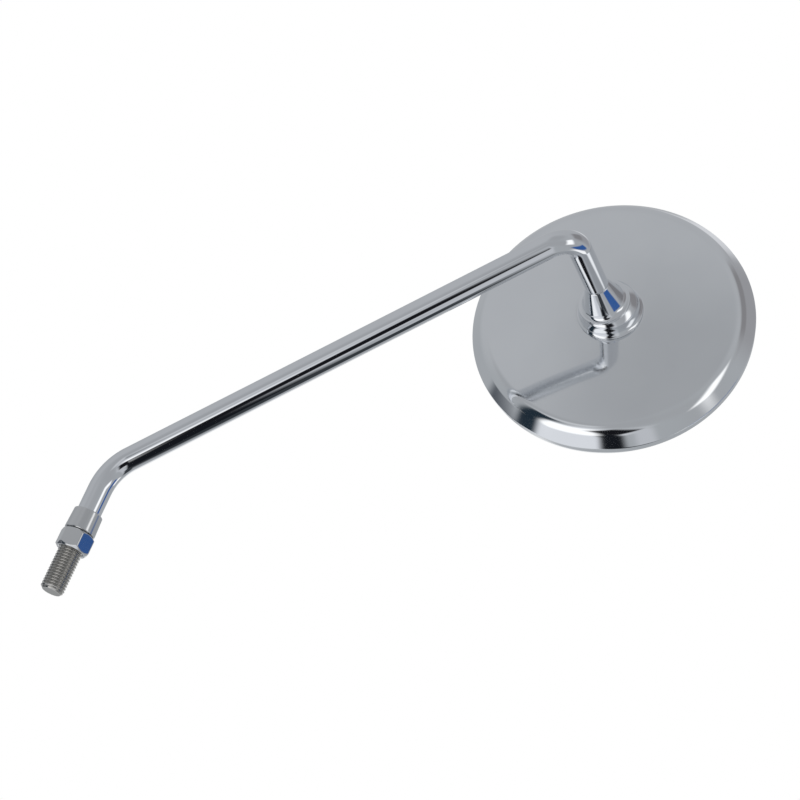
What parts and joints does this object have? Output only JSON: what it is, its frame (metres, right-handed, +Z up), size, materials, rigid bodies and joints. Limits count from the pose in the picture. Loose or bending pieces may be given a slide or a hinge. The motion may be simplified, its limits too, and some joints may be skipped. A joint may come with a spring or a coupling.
{
  "type": "motorcycle mirror",
  "caption": "Round chrome handlebar mirror: convex glass in a domed shell on a ball joint, carried by a twice-bent stem with a threaded stud and lock nut.",
  "frame": {"origin": "on the threaded stud's axis, in the plane of the lock nut's lower face, which seats on the handlebar's mirror boss", "axes": "+Z up the stud's axis away from its tip; the glass faces -Y, towards the rider; the stem reaches out to -X"},
  "size_m": [0.2245, 0.0831, 0.2563],
  "materials": {
    "stem_chrome": "polished chrome plate on steel tube",
    "zinc_steel": "bright plated steel",
    "cone_chrome": "polished chrome plate",
    "head_chrome": "polished chrome plate on pressed steel",
    "inner_steel": "plain zinc-plated steel",
    "spring_steel": "blued spring steel",
    "nylon": "moulded nylon",
    "foam": "closed-cell foam",
    "silvered_glass": "back-silvered convex glass",
    "black_rubber": "moulded rubber"
  },
  "bodies": {
    "stem": {"stem_tube": "stem_chrome", "stud_fitting": "zinc_steel", "cone_ferrule": "cone_chrome", "ball_stud": "inner_steel"},
    "nut": {"lock_nut": "zinc_steel"},
    "inner_swivel": {"upper_liner": "nylon"},
    "outer_swivel": {"lower_liner": "nylon"},
    "head": {"swivel_base": "head_chrome", "seat_ring": "inner_steel", "pressure_ring": "inner_steel", "thrust_washer": "inner_steel", "wave_spring": "spring_steel", "retaining_cap": "inner_steel", "backing_plate": "inner_steel", "back_shell": "head_chrome", "cushion_pad": "foam", "mirror_glass": "silvered_glass", "edge_gasket": "black_rubber", "bezel": "head_chrome"}
  },
  "joints": [
    {"name": "nut_travel", "type": "slide", "parent": "stem", "child": "nut", "axis": [0, 0, -1], "range_m": [0, 0.011]},
    {"name": "head_spin", "type": "hinge", "parent": "stem", "child": "inner_swivel", "pos_m": [-0.1581, -0.0371, 0.17935], "axis": [0.1132, 0.9932, 0.0279], "continuous": true},
    {"name": "head_pan", "type": "hinge", "parent": "inner_swivel", "child": "outer_swivel", "pos_m": [-0.1581, -0.0371, 0.17935], "axis": [0, 0, 1], "range_deg": [-17, 4]},
    {"name": "head_tilt", "type": "hinge", "parent": "outer_swivel", "child": "head", "pos_m": [-0.1581, -0.0371, 0.17935], "axis": [1, 0, 0], "range_deg": [-12, 8]}
  ]
}
